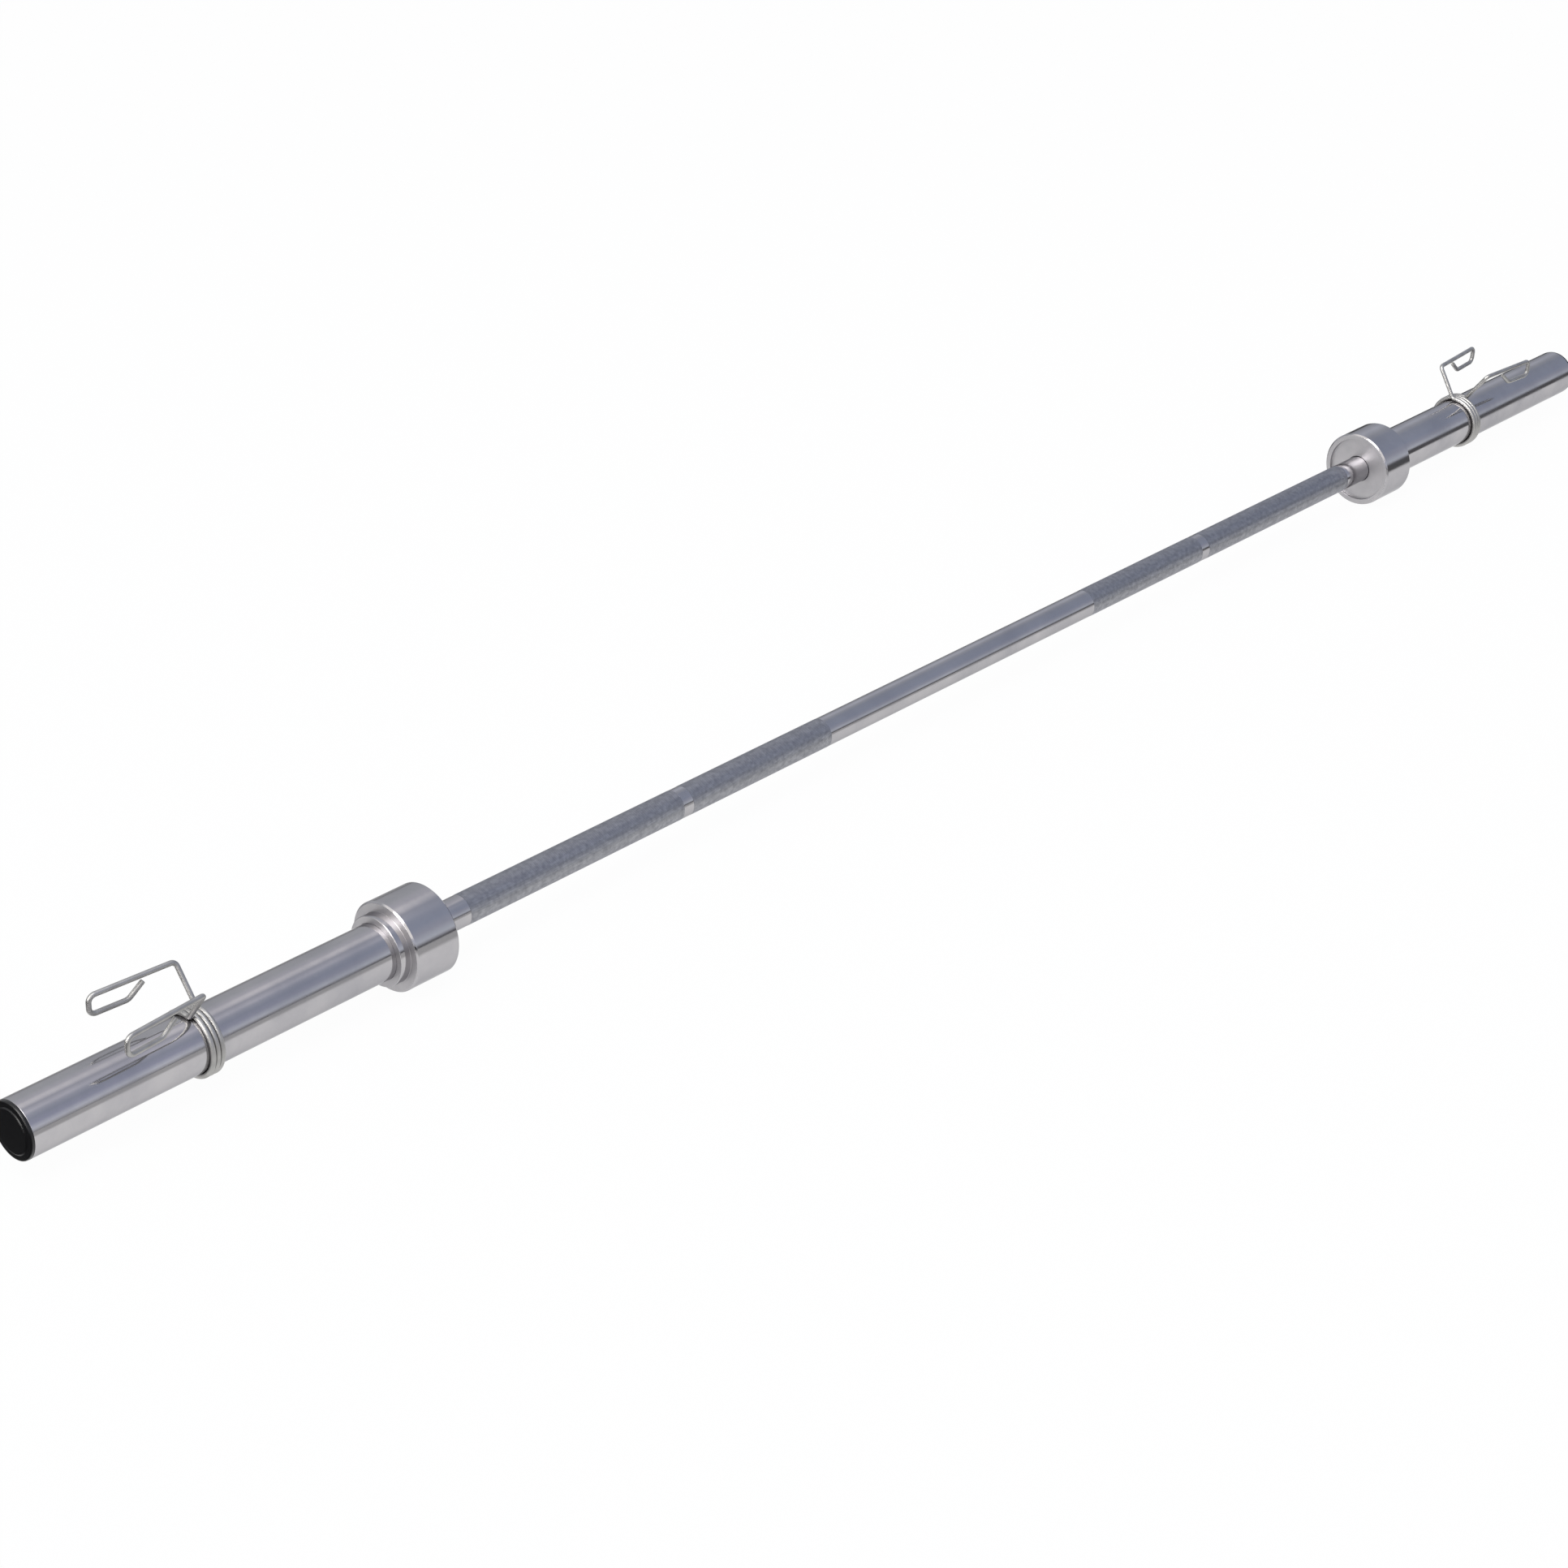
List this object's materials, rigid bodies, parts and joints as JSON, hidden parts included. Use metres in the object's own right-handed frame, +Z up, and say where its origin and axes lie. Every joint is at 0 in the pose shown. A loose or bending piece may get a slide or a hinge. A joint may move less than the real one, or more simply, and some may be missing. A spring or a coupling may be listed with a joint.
{
  "type": "olympic barbell",
  "caption": "Olympic weightlifting bar: long knurled chrome shaft with thick rotating sleeves, stop collars, black end caps and squeeze spring clips that hold the plates on.",
  "frame": {"origin": "on the bar's axis, halfway between its ends", "axes": "+X along the bar towards its right end, +Y to the back, +Z up through the clips' handles"},
  "size_m": [2.2, 0.08, 0.103],
  "materials": {
    "shaft_chrome": "polished, with dull knurled grips",
    "sleeve_chrome": "polished",
    "bushing_bronze": "sintered, oil filled",
    "washer_steel": "ground",
    "snap_ring_steel": "oiled spring steel",
    "cap_plastic": "moulded, satin",
    "clip_wire": "drawn wire, plated"
  },
  "bodies": {
    "bar": {"bar_shaft": "shaft_chrome", "left_thrust_washer": "washer_steel", "left_end_washer": "washer_steel", "left_snap_ring": "snap_ring_steel", "right_thrust_washer": "washer_steel", "right_end_washer": "washer_steel", "right_snap_ring": "snap_ring_steel"},
    "left_sleeve": {"left_sleeve_tube": "sleeve_chrome", "left_stop_collar": "sleeve_chrome", "left_inner_bushing": "bushing_bronze", "left_outer_bushing": "bushing_bronze", "left_end_cap": "cap_plastic"},
    "left_clip": {"left_clip_coil": "clip_wire"},
    "left_clip_rear": {"left_clip_rear_handle": "clip_wire"},
    "left_clip_front": {"left_clip_front_handle": "clip_wire"},
    "right_sleeve": {"right_sleeve_tube": "sleeve_chrome", "right_stop_collar": "sleeve_chrome", "right_inner_bushing": "bushing_bronze", "right_outer_bushing": "bushing_bronze", "right_end_cap": "cap_plastic"},
    "right_clip": {"right_clip_coil": "clip_wire"},
    "right_clip_rear": {"right_clip_rear_handle": "clip_wire"},
    "right_clip_front": {"right_clip_front_handle": "clip_wire"}
  },
  "joints": [
    {"name": "left_sleeve_spin", "type": "hinge", "parent": "bar", "child": "left_sleeve", "pos_m": [-0.9, 0, 0], "axis": [1, 0, 0], "continuous": true},
    {"name": "left_clip_slide", "type": "slide", "parent": "left_sleeve", "child": "left_clip", "axis": [-1, 0, 0], "range_m": [-0.1775, 0.1595]},
    {"name": "left_clip_squeeze", "type": "hinge", "parent": "left_clip", "child": "left_clip_rear", "pos_m": [-0.927, 0, 0], "axis": [1, 0, 0], "range_deg": [0, 18], "stiffness_Nm_per_rad": 3, "deforming": ["left_clip_coil"]},
    {"name": "left_clip_squeeze_front", "type": "hinge", "parent": "left_clip", "child": "left_clip_front", "pos_m": [-0.927, 0, 0], "axis": [-1, 0, 0], "range_deg": [0, 18], "stiffness_Nm_per_rad": 3},
    {"name": "right_sleeve_spin", "type": "hinge", "parent": "bar", "child": "right_sleeve", "pos_m": [0.9, 0, 0], "axis": [1, 0, 0], "continuous": true},
    {"name": "right_clip_slide", "type": "slide", "parent": "right_sleeve", "child": "right_clip", "axis": [1, 0, 0], "range_m": [-0.1365, 0.2005]},
    {"name": "right_clip_squeeze", "type": "hinge", "parent": "right_clip", "child": "right_clip_rear", "pos_m": [0.886, 0, 0], "axis": [1, 0, 0], "range_deg": [0, 18], "stiffness_Nm_per_rad": 3, "deforming": ["right_clip_coil"]},
    {"name": "right_clip_squeeze_front", "type": "hinge", "parent": "right_clip", "child": "right_clip_front", "pos_m": [0.886, 0, 0], "axis": [-1, 0, 0], "range_deg": [0, 18], "stiffness_Nm_per_rad": 3}
  ],
  "couplings": [
    {"joint": "left_clip_squeeze_front", "follows": "left_clip_squeeze", "ratio": 1},
    {"joint": "right_clip_squeeze_front", "follows": "right_clip_squeeze", "ratio": 1}
  ]
}
